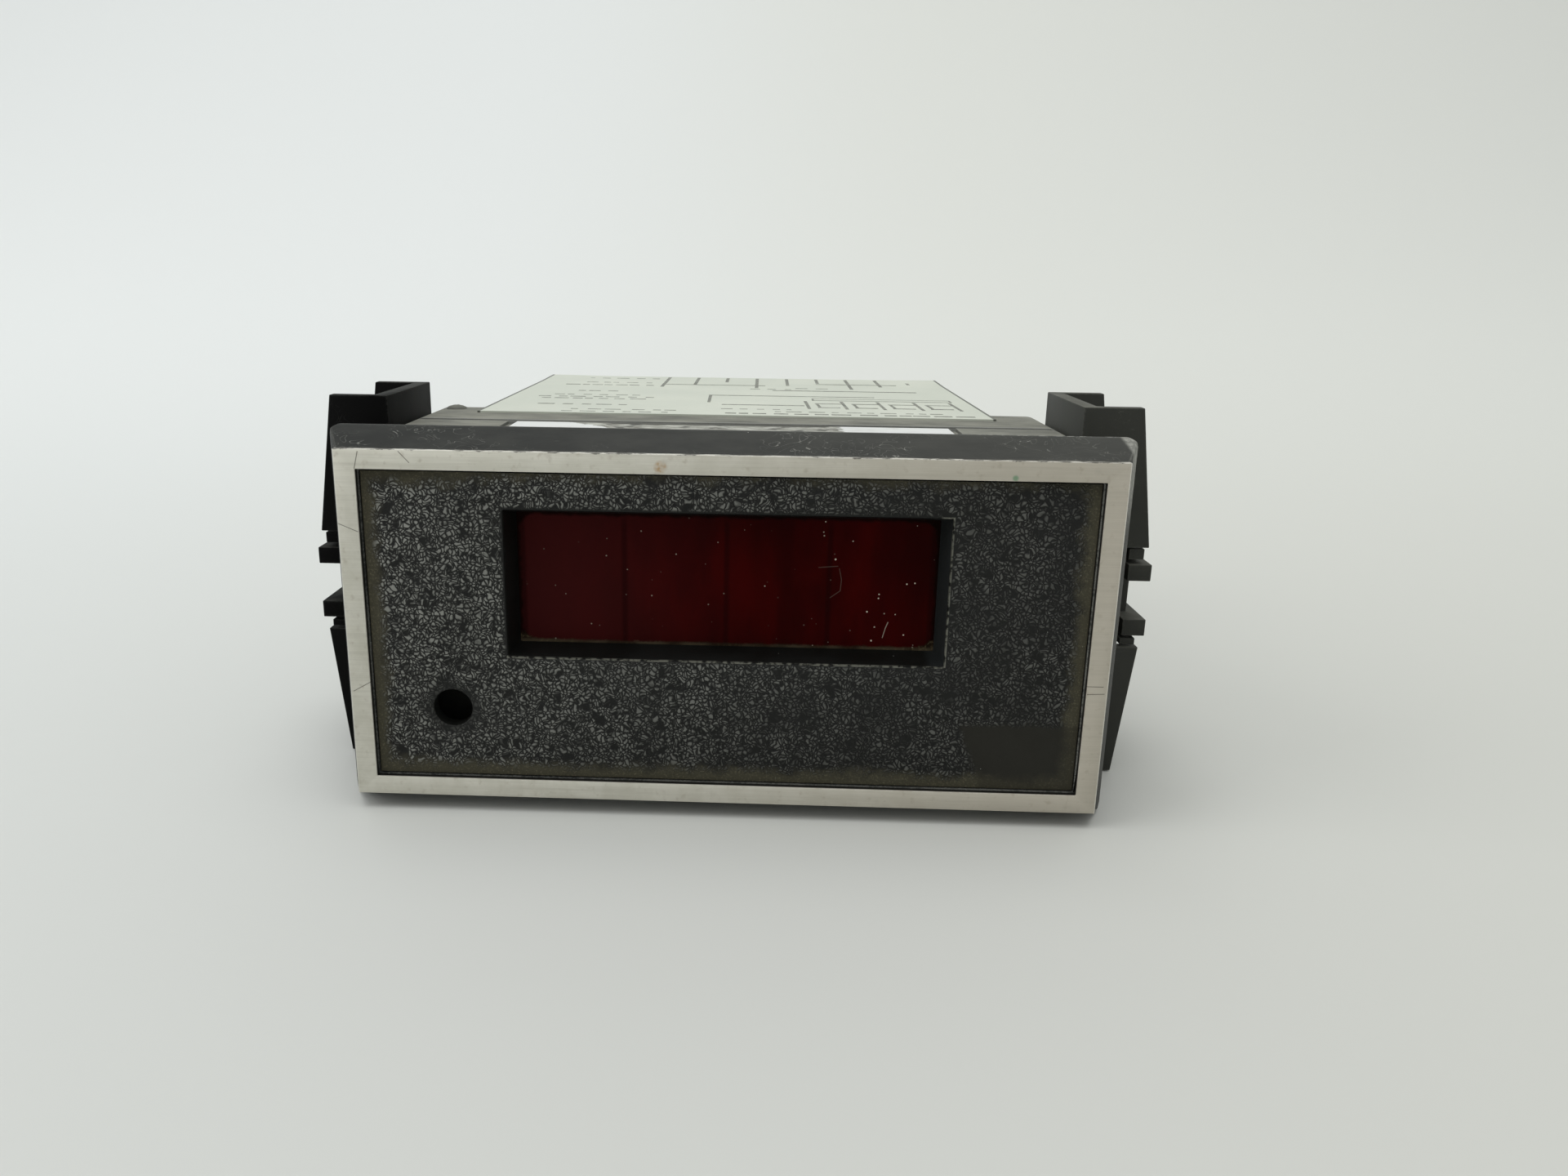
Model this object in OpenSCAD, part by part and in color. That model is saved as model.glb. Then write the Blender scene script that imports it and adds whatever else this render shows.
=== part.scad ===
// Panel-mount frequency counter: a plastic case with a framed front, a red display window,
// two ratchet clips that clamp it in a panel cut-out, and screw terminals at the back.
// +X runs to the right as seen from the front, +Y from the front face into the case, +Z up.
// The origin is under the middle of the object, level with its lowest edge.

/* [Front] */
// Width of the metal rim
rim_w = 92; // [91:0.5:93]
// Height of the metal rim
rim_h = 43.8; // [43:0.2:44.6]
// Width of the band that the rim shows at the left and right
rim_side = 2.66; // [2.4:0.02:2.9]
// Width of the band that the rim shows at the top and bottom
rim_top = 2.52; // [2.4:0.02:2.7]
// Width of the bezel at its back edge
bezel_w = 96.5; // [96:0.5:98]
// Height of the bezel at its back edge
bezel_h = 48; // [47.6:0.2:49]
// Distance from the rim's face to the back of the bezel, where the panel touches it
bezel_back = 6.2; // [6:0.1:6.6]

/* [Window and adjuster] */
// Width of the window recess at the face of the front panel
window_w = 52.9; // [52:0.1:54]
// Height of the window recess at the face of the front panel
window_h = 18.3; // [18:0.1:19]
// Height of the window's middle above the middle of the front
window_z = 5.65; // [5.5:0.05:6]
// Sideways place of the window's middle
window_x = 0; // [-0.5:0.1:0.5]
// Diameter of the hole over the adjuster
adjust_d = 4.8; // [4.4:0.1:5]
// Sideways place of the adjuster
adjust_x = -33.6; // [-34.5:0.1:-33]
// Height of the adjuster from the middle of the front
adjust_z = -10.4; // [-11:0.1:-9.5]

/* [Case] */
// Width of the wide front part of the case, which fills the panel cut-out
shoulder_w = 89.6; // [89:0.2:90]
// Width of the narrow rear part of the case
rear_w = 77; // [76.6:0.2:78]
// Height of the case
case_h = 44.8; // [44.4:0.1:45]
// Distance from the rim's face to the end of the wide part
shoulder_end = 37.4; // [37:0.1:38]
// Distance from the rim's face to the open back end of the case
case_end = 96; // [95:0.5:100]
// Thickness of the case walls
wall = 1.8; // [1.7:0.05:1.9]

/* [Clips] */
// Distance from the rim's face to the clips' front faces, as the clips stand
clip_front = 16.5; // [16:0.1:17]
// Length of a clip along the case
clip_len = 18.7; // [18:0.1:19]
// Height of a clip's top end from the middle of the front
clip_high = 26.25; // [25:0.05:27]
// Height of a clip's bottom end from the middle of the front
clip_low = -23.8; // [-23.9:0.05:-23.5]

/* [Terminals] */
// Number of screw terminals
terminals = 10; // [6:1:10]
// Distance from one terminal to the next
terminal_pitch = 6.35; // [6:0.05:6.4]

/* [Hidden] */
$fn = 48;

cut = 1;                // how far a cutting shape runs past the face it opens

// Depths, all from the rim's face
trim_t = 0.8;
panel_front = 0.8;
panel_back = 3.3;
flare_end = 5.4;
collar_end = 9.8;
seat_y = bezel_back - 0.5;
seat_play = 0.2;
funnel_back = 4.3;
filter_back = 5.8;
digit_front = 6.4;
board_front = 13.4;
board_t = 1.6;
cover_end = case_end + 2;
block_end = cover_end + 6;
overall_d = block_end;

// Front pieces
corner_r = 1.3;
panel_gap = 0.1;
opening_w = rim_w - 2 * rim_side;
opening_h = rim_h - 2 * rim_top;
panel_w = opening_w - 2 * panel_gap;
panel_h = opening_h - 2 * panel_gap;
collar_w = 80;
collar_h = 41;
collar_side = 1.8;
collar_top = 2.7;
bevel = 0.9;
filter_w = window_w - 2 * bevel;
filter_h = window_h - 2 * bevel;
filter_lap = 1.9;
filter_play = 0.15;
pocket_wall = 1.4;

// Display and adjuster
digit_pitch = 12.5;
digit_w = 12.3;
digit_h = 17.6;
segment_rise = 0.15;
segment_x = 3.3;
segment_z = 5.9;
segment_t = 1.2;
segment_cut = 0.4;
lean = tan(8);
display_board_w = 78;
display_board_h = 33;
trimmer_w = 7;
trimmer_front = 10.6;
rotor_r = 2;
rotor_play = 0.05;
rotor_front = 10.3;
rotor_back = 12.9;
driver_slot_w = 0.6;
driver_slot_t = 0.9;

// Case
case_r = 2.2;
lower_strip = 0.2;
strip_end = 24.6;
rear_step = 0.7;
rear_step_start = 89.2;
slot_w = 61.1;
slot_x = -0.35;
slot_start = 16.5;
slot_end = 24.5;
slot_floor = 21.75;
guide_z = 13;
guide_start = 12.5;
rack_start = 11;
guide_neck_h = 2.4;
guide_head_h = 5.2;
guide_head_in = 41.9;
guide_head_out = 43.6;
guide_boss_in = 40.4;
guide_boss_h = 8.4;
rack_h = 6.4;
rack_floor = 43.4;
rack_boss_in = 41.6;
rack_boss_h = 9.6;
tooth_pitch = 1.5;
tooth_rise = 0.8;
tooth_h = 5.2;
boss_r = 2.4;
boss_x = rear_w / 2 - 5;
boss_z = 17.4;
boss_start = 84;
screw_r = 1.3;
screw_head_r = 2.6;
screw_head_t = 1.5;
cover_hole_r = 1.6;

// Boards
main_top = -13.2;
main_w = rear_w - 2 * wall - 1;
main_start = 16.2;
main_end = 94;
rail_start = 42;
rail_end = 82;
rail_w = 2.2;
rail_root = 0.2;
rail_t = 1.2;
rail_play = 0.1;
leg_pitch = 2.54;

// Clips
web_in = shoulder_w / 2 + 0.1;
web_t = 2;
flange_t = 1.5;
flange_top_x = 52.5;
flange_mid_x = 55;
flange_low_x = 53.1;
notch_high = 8;
notch_low = -5.75;
notch_x = 49;
foot_start = clip_front + 5.5;
foot_neck_h = 2;
foot_head_h = 4.6;
foot_head_in = 42.2;
foot_head_out = 43.4;
pivot_x = 52.8;
pivot_y = 32.4;
bead_r = 0.7;
bead_play = 0.05;
latch_play = 0.25;
latch_in = 52.6;
latch_face = 54.1;
latch_end = 30.6;
latch_front = 20;
latch_rib_x = 55.65;
latch_rim_x = 54.6;
latch_high = notch_high - latch_play;
latch_low = notch_low + latch_play;
pawl_tip = 44.35;
pawl_front = 20.5;
pawl_t = 1.5;
pawl_h = 4;

// Back
block_x = 0;
block_z = 8;
block_h = 13;
block_w = terminals * terminal_pitch + 4;
block_floor_t = 3.6;
barrier_t = 1.2;
terminal_screw_r = 1.45;
terminal_bore_r = 1.5;
terminal_head_r = 2.4;
terminal_head_t = 1.5;
plate_t = 0.8;
plate_w = 4.8;
plate_h = 7;
dip_levers = 8;
dip_x = -14;
dip_w = dip_levers * leg_pitch + 2;
dip_h = 9.8;
dip_front = 89;
dip_face = 95.6;
dip_z = main_top + dip_h / 2;
dip_slot_w = 1.5;
dip_slot_h = 4.2;
dip_slot_t = 2;
lever_w = 1.2;
lever_h = 2.2;
dip_window_w = dip_w + 1.2;
dip_window_h = dip_h - 1.4;
dip_window_rise = 0.4;

// Puts shapes drawn from the middle of the rim's face into the object's own frame
module placed() translate([0, -overall_d / 2, bezel_h / 2]) children();

// A box centred on x and z that runs from depth y0 to depth y1
module slab(w, h, y0, y1, x = 0, z = 0)
    translate([x - w / 2, y0, z - h / 2]) cube([w, y1 - y0, h]);

// A round bar or hole along the depth
module rod(r, y0, y1, x = 0, z = 0)
    translate([x, y1, z]) rotate([90, 0, 0]) cylinder(r = r, h = y1 - y0);

// Turns an outline drawn in X and Z into a solid from depth y0 to depth y1
module along(y0, y1)
    translate([0, y1, 0]) rotate([90, 0, 0]) linear_extrude(y1 - y0) children();

// A rectangle with rounded corners
module soft_rect(w, h, r) {
    square([w - 2 * r, h], center = true);
    square([w, h - 2 * r], center = true);
    for (x = [-1, 1], z = [-1, 1])
        translate([x * (w / 2 - r), z * (h / 2 - r)]) circle(r);
}

// A solid with four sloping flat sides, from one rectangle to another
module flare(w0, h0, y0, w1, h1, y1) {
    reach = max(w0, w1, h0, h1) + cut;
    intersection() {
        linear_extrude(reach, center = true)
            polygon([[-w0 / 2, y0], [w0 / 2, y0], [w1 / 2, y1], [-w1 / 2, y1]]);
        rotate([90, 0, 90]) linear_extrude(reach, center = true)
            polygon([[y0, -h0 / 2], [y1, -h1 / 2], [y1, h1 / 2], [y0, h0 / 2]]);
    }
}

// A box standing on the main board
module on_board(w, d, h, x, y, lift = 0)
    translate([x - w / 2, y - d / 2, main_top + lift]) cube([w, d, h]);

// A chip in a two-row package, with its legs
module chip(legs, w, d, h, x, y) {
    lift = 0.6;
    leg_w = 0.5;
    leg_t = 0.3;
    on_board(w, d, h, x, y, lift);
    for (i = [0 : legs / 2 - 1], side = [-1, 1])
        on_board(leg_w, leg_t, lift + h / 2, x + (i - (legs / 2 - 1) / 2) * leg_pitch,
            y + side * (d + leg_t) / 2);
}

// The frame that widens from the rim back to the panel, with a collar that plugs into the case
module bezel() placed() color("#454745") difference() {
    union() {
        intersection() {
            union() {
                flare(rim_w, rim_h, trim_t, bezel_w, bezel_h, flare_end);
                slab(bezel_w, bezel_h, flare_end, bezel_back);
            }
            along(0, bezel_back) soft_rect(bezel_w, bezel_h, corner_r);
        }
        slab(collar_w, collar_h, bezel_back, collar_end);
    }
    difference() {
        along(seat_y, bezel_back + cut) soft_rect(shoulder_w, case_h, case_r);
        slab(collar_w, collar_h, 0, collar_end + cut);
    }
    slab(opening_w, opening_h, -cut, panel_back);
    slab(collar_w - 2 * collar_side, collar_h - 2 * collar_top, 0, collar_end + cut);
}

// The brushed metal rim glued on the front edge of the bezel
module bezel_trim() placed() color("#b5b1a4") difference() {
    slab(rim_w, rim_h, 0, trim_t);
    slab(opening_w, opening_h, -cut, trim_t + cut);
}

// The grained front panel with its window recess, adjuster hole and pocket for the filter
module front_panel() placed() color("#3a3b39") difference() {
    union() {
        slab(panel_w, panel_h, panel_front, panel_back);
        slab(filter_w + 2 * (filter_lap + filter_play + pocket_wall),
            filter_h + 2 * (filter_lap + filter_play + pocket_wall),
            panel_back, filter_back, window_x, window_z);
    }
    translate([window_x, 0, window_z]) {
        slab(window_w, window_h, panel_front - cut, panel_front);
        flare(window_w, window_h, panel_front, filter_w, filter_h, funnel_back);
    }
    slab(filter_w + 2 * (filter_lap + filter_play), filter_h + 2 * (filter_lap + filter_play),
        funnel_back, filter_back + cut, window_x, window_z);
    rod(adjust_d / 2, 0, panel_back + cut, adjust_x, adjust_z);
}

// The clear red plate over the digits
module display_window() placed() color("#3a0808")
    slab(filter_w + 2 * filter_lap, filter_h + 2 * filter_lap, funnel_back, filter_back,
        window_x, window_z);

// Everything on one side of the case that a clip runs on
module side_boss() {
    translate([guide_boss_in, guide_start - wall, guide_z - guide_boss_h / 2])
        cube([web_in - guide_boss_in - wall, shoulder_end - guide_start + wall, guide_boss_h]);
    translate([guide_boss_in, guide_start - wall, -guide_z - guide_boss_h / 2])
        cube([web_in - guide_boss_in - wall, shoulder_end - guide_start + wall, guide_boss_h]);
    translate([rack_boss_in, rack_start - wall, -rack_boss_h / 2])
        cube([web_in - rack_boss_in - wall, shoulder_end - rack_start + wall, rack_boss_h]);
}

// The undercut guides for a clip's feet and the groove for its ratchet, open to the back
module side_grooves() {
    groove_l = shoulder_end - guide_start + cut;
    for (z = [-guide_z, guide_z]) {
        translate([guide_head_in, guide_start, z - guide_head_h / 2])
            cube([guide_head_out - guide_head_in, groove_l, guide_head_h]);
        translate([guide_head_in, guide_start, z - guide_neck_h / 2])
            cube([web_in + cut - guide_head_in, groove_l, guide_neck_h]);
    }
    translate([rack_floor, rack_start, -rack_h / 2])
        cube([web_in + cut - rack_floor, shoulder_end - rack_start + cut, rack_h]);
}

// The row of ratchet teeth in the groove
module rack() {
    teeth = floor((shoulder_end - rack_start - tooth_pitch) / tooth_pitch);
    root = 0.2;
    linear_extrude(tooth_h, center = true) for (i = [0 : teeth - 1])
        translate([rack_floor, rack_start + tooth_pitch * (i + 0.5)])
            polygon([[-root, 0], [tooth_rise, 0], [0, tooth_pitch], [-root, tooth_pitch]]);
}

// What is cut off the top of the case and its cover at the back, so that the card lies proud
module rear_step_cut()
    slab(rear_w + cut, rear_step + cut, rear_step_start, cover_end + cut, 0,
        (case_h - rear_step + cut) / 2);

// The case: a wide front part, a narrow rear part, and the guides inside and out
module case_body() placed() color("#5f605c") {
    inner_w = shoulder_w - 2 * wall;
    inner_h = case_h - 2 * wall;
    rear_in = rear_w - 2 * wall;
    difference() {
        union() {
            difference() {
                union() {
                    along(seat_y, shoulder_end)
                        soft_rect(shoulder_w - 2 * seat_play, case_h - 2 * seat_play, case_r);
                    along(bezel_back, shoulder_end) soft_rect(shoulder_w, case_h, case_r);
                    along(shoulder_end - cut, case_end) soft_rect(rear_w, case_h, case_r);
                }
                slab(inner_w, inner_h, 0, shoulder_end - wall);
                slab(rear_in, inner_h, 0, case_end + cut);
            }
            side_boss();
            mirror([1, 0, 0]) side_boss();
            for (x = [-boss_x, boss_x], z = [-boss_z, boss_z]) {
                rod(boss_r, boss_start, case_end, x, z);
                slab(2, case_h / 2 - boss_z - 0.5, boss_start, case_end, x,
                    sign(z) * (case_h / 2 + boss_z) / 2);
            }
            for (side = [-1, 1], z = [main_top + rail_play, main_top - board_t - rail_play - rail_t])
                translate([side * ((rear_in - rail_w) / 2 + rail_root) - rail_w / 2, rail_start, z])
                    cube([rail_w, rail_end - rail_start, rail_t]);
        }
        slab(shoulder_w + cut, lower_strip, bezel_back, strip_end, 0, (case_h - lower_strip) / 2);
        slab(slot_w, case_h / 2 - slot_floor + cut, slot_start, slot_end, slot_x,
            (case_h / 2 + slot_floor + cut) / 2);
        rear_step_cut();
        side_grooves();
        mirror([1, 0, 0]) side_grooves();
        for (x = [-boss_x, boss_x], z = [-boss_z, boss_z])
            rod(screw_r, boss_start - cut, case_end + cut, x, z);
    }
    rack();
    mirror([1, 0, 0]) rack();
}

// The plate that closes the back, with openings for the switches and the terminal tails
module rear_cover() placed() color("#3b3c3a") difference() {
    along(case_end, cover_end) soft_rect(rear_w, case_h, case_r);
    for (x = [-boss_x, boss_x], z = [-boss_z, boss_z])
        rod(cover_hole_r, case_end - cut, cover_end + cut, x, z);
    slab(dip_window_w, dip_window_h, case_end - cut, cover_end + cut, dip_x, dip_z + dip_window_rise);
    slab(block_w - 6, 2.4, case_end - cut, cover_end + cut, block_x, block_z);
    rear_step_cut();
}

// A pan-head screw along the depth, its head at the back, with a straight driver slot
module screw(r, head_r, head_t, tip, seat, x, z) difference() {
    union() {
        rod(r, tip, seat, x, z);
        rod(head_r, seat, seat + head_t, x, z);
    }
    slab(2 * head_r + cut, 0.7, seat + head_t / 2, seat + head_t + cut, x, z);
}

// The four screws that hold the rear cover
module cover_screws() placed() color("#a5a6a2")
    for (x = [-boss_x, boss_x], z = [-boss_z, boss_z])
        screw(screw_r, screw_head_r, screw_head_t, case_end - 8, cover_end, x, z);

// The printed card stuck on top of the case
module wiring_label() placed() color("#d9ddcf")
    translate([-37, 31.2, case_h / 2]) cube([74, 57.3, 0.25]);

// The white strip at the bottom of the slot in the case's top
module slot_strip() placed() color("#d8dad6")
    translate([-29.6, slot_start + 0.4, slot_floor]) cube([58.7, slot_end - slot_start - 0.8, 0.45]);

// The upright board that carries the digits
module display_board() placed() color("#2f5a3a")
    slab(display_board_w, display_board_h, board_front, board_front + board_t);

// A bar of a digit, level or upright, that leans as the digit does
module segment(x, z, w, h)
    polygon([for (p = [[-w, -h], [w, -h], [w, h], [-w, h]] / 2) [x + p[0] + lean * (z + p[1]), z + p[1]]]);

// One seven-segment digit with its decimal point
module display_digit(i) placed() color("#33302f") {
    x = window_x + (i - 2.5) * digit_pitch;
    slab(digit_w, digit_h, digit_front, board_front, x, window_z);
    translate([x, 0, window_z]) along(digit_front - segment_rise, digit_front) {
        for (z = [-segment_z, 0, segment_z]) segment(0, z, 2 * (segment_x - segment_cut), segment_t);
        for (side = [-segment_x, segment_x], z = [-segment_z, segment_z] / 2)
            segment(side, z, segment_t, segment_z - 2 * segment_cut);
        translate([segment_x + 1.2, -segment_z]) circle(0.65);
    }
}

// The adjuster's housing, with the bore that its screw turns in
module trimmer_body() placed() color("#2d4f8a") difference() {
    slab(trimmer_w, trimmer_w, trimmer_front, board_front, adjust_x, adjust_z);
    rod(rotor_r + rotor_play, trimmer_front - cut, rotor_back + 0.1, adjust_x, adjust_z);
}

// The adjuster's slotted screw, reached through the hole in the front
module trimmer_screw() placed() color("#b08d4a") difference() {
    rod(rotor_r, rotor_front, rotor_back, adjust_x, adjust_z);
    slab(2 * rotor_r + cut, driver_slot_w, rotor_front - cut, rotor_front + driver_slot_t,
        adjust_x, adjust_z);
}

// The board that lies in the case's rails
module main_board() placed() color("#2f5a3a")
    translate([-main_w / 2, main_start, main_top - board_t]) cube([main_w, main_end - main_start, board_t]);

// The angled pin strip that joins the two boards
module board_header() placed() color("#222222") {
    strip = 2.5;
    translate([-30, board_front + board_t, main_top]) cube([60, strip, strip]);
}

// The large counting chip
module counter_chip() placed() color("#262626") chip(40, 51.5, 13.7, 3.9, 0, 30);

// The three smaller chips behind it
module driver_chips() placed() color("#262626")
    for (x = [-24, 0, 24]) chip(16, 19.3, 6.4, 3.6, x, 47);

// The timebase crystal in its metal can
module crystal() placed() color("#b9bab6") {
    can_r = 2.3;
    can_h = 11;
    for (x = [-3.2, 3.2]) translate([24 + x, 60, main_top]) cylinder(r = can_r, h = can_h);
    on_board(6.4, 2 * can_r, can_h, 24, 60);
}

// The stacked steel core of the mains transformer
module transformer_core() placed() color("#77756f") difference() {
    slab(38, 31, 70, 84, 6, main_top + 15.5);
    for (side = [-1, 1]) slab(6.5, 18, 69, 85, 6 + side * 9.5, main_top + 15.5);
}

// The winding around the middle leg of the core
module transformer_coil() placed() color("#c2a24c") difference() {
    slab(25.2, 17.4, 65, 88.5, 6, main_top + 15.5);
    slab(12.7, 18, 69.9, 84.1, 6, main_top + 15.5);
}

// The large smoothing capacitor
module main_capacitor() placed() color("#26324a")
    translate([-25, 74, main_top]) cylinder(r = 6.25, h = 20);

// The small capacitors around the board
module small_capacitors() placed() color("#26324a")
    for (p = [[-30, 62], [30.5, 74], [30.5, 66]]) translate([p[0], p[1], main_top]) cylinder(r = 3.1, h = 11);

// The voltage regulator on its heat sink
module regulator() placed() color("#2b2b2b") {
    on_board(10, 4.4, 9, -14, 58, 4);
    for (i = [-1, 0, 1]) on_board(0.8, 0.5, 4, -14 + i * leg_pitch, 58);
}

// The folded aluminium heat sink
module heat_sink() placed() color("#1f1f1f") {
    on_board(19, 1.4, 16, -14, 61);
    for (side = [-1, 1]) on_board(1.4, 8, 16, -14 + side * 8.8, 57.7);
}

// The small upright board that the terminals are soldered to
module terminal_board() placed() color("#2f5a3a")
    slab(block_w - 4, 11.6, 92, 92 + board_t, block_x, block_z + 0.5);

// Sideways place of one terminal
function terminal_x(i) = block_x + (i - (terminals + 1) / 2) * terminal_pitch;

// The moulded block with a wall between each two terminals
module terminal_block() placed() color("#1d1d1d") difference() {
    union() {
        slab(block_w, block_h, cover_end, cover_end + block_floor_t - plate_t, block_x, block_z);
        for (i = [0 : terminals])
            slab(barrier_t, block_h, cover_end, block_end,
                block_x + (i - terminals / 2) * terminal_pitch, block_z);
        slab(block_w, 1, cover_end, cover_end + block_floor_t, block_x, block_z + block_h / 2 - 0.5);
    }
    for (i = [1 : terminals])
        rod(terminal_bore_r, cover_end + 0.6, block_end + cut, terminal_x(i), block_z);
}

// The clamping plates under the terminal screws
module terminal_plates() placed() color("#c9c7bd") difference() {
    plate_start = cover_end + block_floor_t - plate_t;
    for (i = [1 : terminals])
        slab(plate_w, plate_h, plate_start, plate_start + plate_t, terminal_x(i), block_z);
    for (i = [1 : terminals])
        rod(terminal_bore_r, cover_end, block_end, terminal_x(i), block_z);
}

// The terminal screws
module terminal_screws() placed() color("#b7b5aa")
    for (i = [1 : terminals])
        screw(terminal_screw_r, terminal_head_r, terminal_head_t, cover_end + 0.8,
            cover_end + block_floor_t, terminal_x(i), block_z);

// Sideways place of one switch lever
function lever_x(i) = dip_x + (i - (dip_levers + 1) / 2) * leg_pitch;

// The housing of the row of small switches
module dip_switch_body() placed() color("#9c2f27") difference() {
    slab(dip_w, dip_h, dip_front, dip_face, dip_x, dip_z);
    for (i = [1 : dip_levers])
        slab(dip_slot_w, dip_slot_h, dip_face - dip_slot_t, dip_face + cut, lever_x(i), dip_z);
}

// One switch lever, shown in its lower place
module dip_lever(i) placed() color("#e6e4da") {
    play = 0.15;
    low = dip_z - dip_slot_h / 2 + play;
    translate([lever_x(i) - lever_w / 2, dip_face - dip_slot_t + play, low])
        cube([lever_w, dip_slot_t - play + 1, lever_h]);
}

// The outline of a clip's flange
module flange_outline(notched) polygon(concat(
    [[web_in, clip_low], [flange_low_x, clip_low], [flange_mid_x, notch_low]],
    notched ? [[notch_x, notch_low], [notch_x, notch_high]] : [],
    [[flange_mid_x, notch_high], [flange_top_x, clip_high], [web_in, clip_high]]));

// The right-hand clip: a channel open to the outside, with feet that run in the case's guides
module clip() {
    clip_end = clip_front + clip_len;
    socket_y0 = pivot_y - 1.4;
    difference() {
        union() {
            translate([web_in, clip_front, clip_low]) cube([web_t, clip_len, clip_high - clip_low]);
            along(clip_front, clip_front + flange_t) flange_outline(true);
            along(clip_end - flange_t, clip_end) flange_outline(false);
            for (z = [-guide_z, guide_z]) {
                translate([foot_head_in, foot_start, z - foot_neck_h / 2])
                    cube([web_in - foot_head_in + 0.1, clip_end - foot_start, foot_neck_h]);
                translate([foot_head_in, foot_start, z - foot_head_h / 2])
                    cube([foot_head_out - foot_head_in, clip_end - foot_start, foot_head_h]);
            }
            translate([pivot_x - 1.5, socket_y0, latch_low])
                cube([3, clip_end - flange_t - socket_y0 + 0.1, latch_high - latch_low]);
        }
        translate([pivot_x, pivot_y, latch_low - cut])
            cylinder(r = bead_r + bead_play, h = latch_high - latch_low + 2 * cut);
        translate([pivot_x - 0.55, socket_y0 - cut, latch_low - cut])
            cube([1.1, cut + pivot_y - socket_y0, latch_high - latch_low + 2 * cut]);
        translate([web_in - cut, clip_front + 2, -rack_h / 2])
            cube([web_t + 2 * cut, 7, rack_h]);
    }
}

// The right-hand latch: a ribbed tongue with a pawl that reaches the ratchet teeth
module latch() {
    module piece(x0, x1, y0, y1, z0, z1)
        translate([x0, y0, z0]) cube([x1 - x0, y1 - y0, z1 - z0]);
    piece(latch_in, latch_face, latch_front, latch_end, latch_low, latch_high);
    piece(latch_in, latch_rim_x, clip_front + 0.4, latch_end, 6.3, latch_high);
    piece(latch_in, latch_rim_x, clip_front + 0.4, latch_end, latch_low, -4.6);
    piece(latch_in, latch_rib_x, clip_front, latch_end, 3.46, 5.7);
    piece(latch_in, latch_rib_x, clip_front, latch_end, -4.13, -1.85);
    piece(pivot_x - 0.3, pivot_x + 0.3, latch_end - 0.1, pivot_y, latch_low, latch_high);
    piece(pawl_tip, latch_in + 0.1, pawl_front, pawl_front + pawl_t, -pawl_h / 2, pawl_h / 2);
    translate([pivot_x, pivot_y, latch_low]) cylinder(r = bead_r, h = latch_high - latch_low);
}

module left_clip() placed() color("#232422") mirror([1, 0, 0]) clip();
module right_clip() placed() color("#2e2f2d") clip();
module left_latch() placed() color("#232422") mirror([1, 0, 0]) latch();
module right_latch() placed() color("#2e2f2d") latch();

bezel();
bezel_trim();
front_panel();
display_window();
case_body();
rear_cover();
cover_screws();
wiring_label();
slot_strip();
display_board();
display_digit(1);  // display_digit_1
display_digit(2);  // display_digit_2
display_digit(3);  // display_digit_3
display_digit(4);  // display_digit_4
trimmer_body();
trimmer_screw();
main_board();
board_header();
counter_chip();
driver_chips();
crystal();
transformer_core();
transformer_coil();
main_capacitor();
small_capacitors();
regulator();
heat_sink();
terminal_board();
terminal_block();
terminal_plates();
terminal_screws();
dip_switch_body();
dip_lever(1);  // dip_lever_1
dip_lever(2);  // dip_lever_2
dip_lever(3);  // dip_lever_3
dip_lever(4);  // dip_lever_4
dip_lever(5);  // dip_lever_5
dip_lever(6);  // dip_lever_6
dip_lever(7);  // dip_lever_7
dip_lever(8);  // dip_lever_8
left_clip();
right_clip();
left_latch();
right_latch();
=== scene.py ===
import math
import random

import bmesh
import bpy
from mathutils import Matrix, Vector


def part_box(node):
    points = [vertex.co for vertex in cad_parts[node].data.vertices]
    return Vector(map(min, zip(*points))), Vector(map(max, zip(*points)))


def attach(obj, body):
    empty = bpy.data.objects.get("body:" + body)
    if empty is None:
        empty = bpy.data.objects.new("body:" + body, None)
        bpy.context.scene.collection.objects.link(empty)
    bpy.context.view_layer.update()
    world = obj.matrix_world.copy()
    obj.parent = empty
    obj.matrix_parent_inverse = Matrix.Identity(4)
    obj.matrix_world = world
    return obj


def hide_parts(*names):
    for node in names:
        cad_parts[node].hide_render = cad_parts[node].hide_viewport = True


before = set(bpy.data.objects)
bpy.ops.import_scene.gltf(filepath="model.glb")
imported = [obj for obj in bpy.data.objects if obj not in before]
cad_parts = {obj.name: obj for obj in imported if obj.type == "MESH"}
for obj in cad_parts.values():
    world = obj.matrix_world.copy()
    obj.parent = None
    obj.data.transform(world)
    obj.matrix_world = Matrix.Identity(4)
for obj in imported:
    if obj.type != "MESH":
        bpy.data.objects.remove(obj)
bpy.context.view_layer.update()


# Camera ------------------------------------------------------------------------------------
# A phone's wide lens, close in front of the meter and a little above it. Its place is counted
# from the middle of the rim's face.
MM = 0.001
rim_low, rim_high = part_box("bezel_trim")
front = Vector((0, rim_low.y, (rim_low.z + rim_high.z) / 2))
bpy.ops.object.camera_add(
    location=front + Vector((3.962, -122.343, 41.945)) * MM,
    rotation=[math.radians(angle) for angle in (75.424, -0.709, 2.182)],
)
camera = bpy.context.object
camera.data.lens = 24.72
camera.data.shift_x = 0.0388
camera.data.shift_y = -0.0210
camera.data.clip_start = 0.005
bpy.context.scene.camera = camera
bpy.context.scene.view_settings.view_transform = "Standard"


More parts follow.
